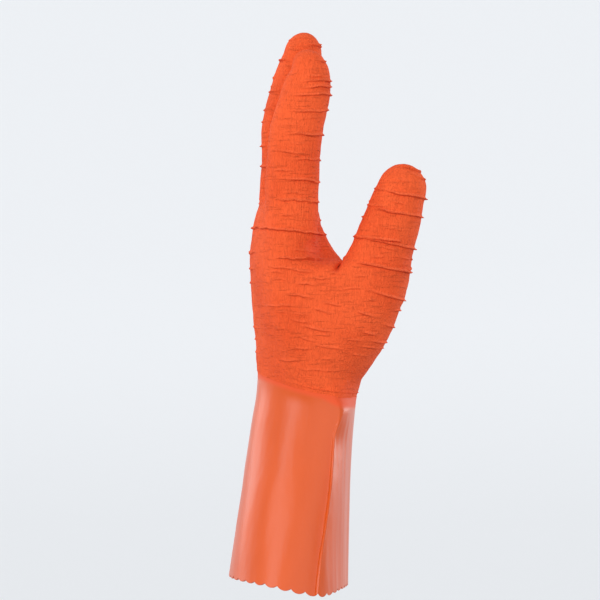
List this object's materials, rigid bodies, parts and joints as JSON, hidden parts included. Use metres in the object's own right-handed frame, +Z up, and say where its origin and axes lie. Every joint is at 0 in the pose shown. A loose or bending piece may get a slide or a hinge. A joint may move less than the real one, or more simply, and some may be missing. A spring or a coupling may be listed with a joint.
{
  "type": "chemical-resistant gauntlet glove",
  "caption": "Left-hand rubber gauntlet glove held in its worn form: crinkle-coated hand with thumb and finger stalls over a smooth flared cuff with a pinked hem.",
  "frame": {"origin": "centre of the wrist, on the mount wrist_in_glove, where a hand or a display form holds the glove up", "axes": "+Z up the hand to the fingertips, +X out of the palm, +Y from the thumb side towards the little finger"},
  "size_m": [0.1094, 0.13, 0.3152],
  "materials": {
    "crinkled_rubber": "matt orange natural rubber with a raised, wavy crinkle and a fine crepe between the ridges",
    "smooth_rubber": "smooth half-gloss orange natural rubber, paler where it catches the light along its folds"
  },
  "bodies": {
    "root": {"crinkled_palm": "crinkled_rubber", "index_stall": "crinkled_rubber", "middle_stall": "crinkled_rubber", "ring_stall": "crinkled_rubber", "little_stall": "crinkled_rubber", "thumb_stall": "crinkled_rubber", "smooth_cuff": "smooth_rubber"}
  },
  "joints": []
}
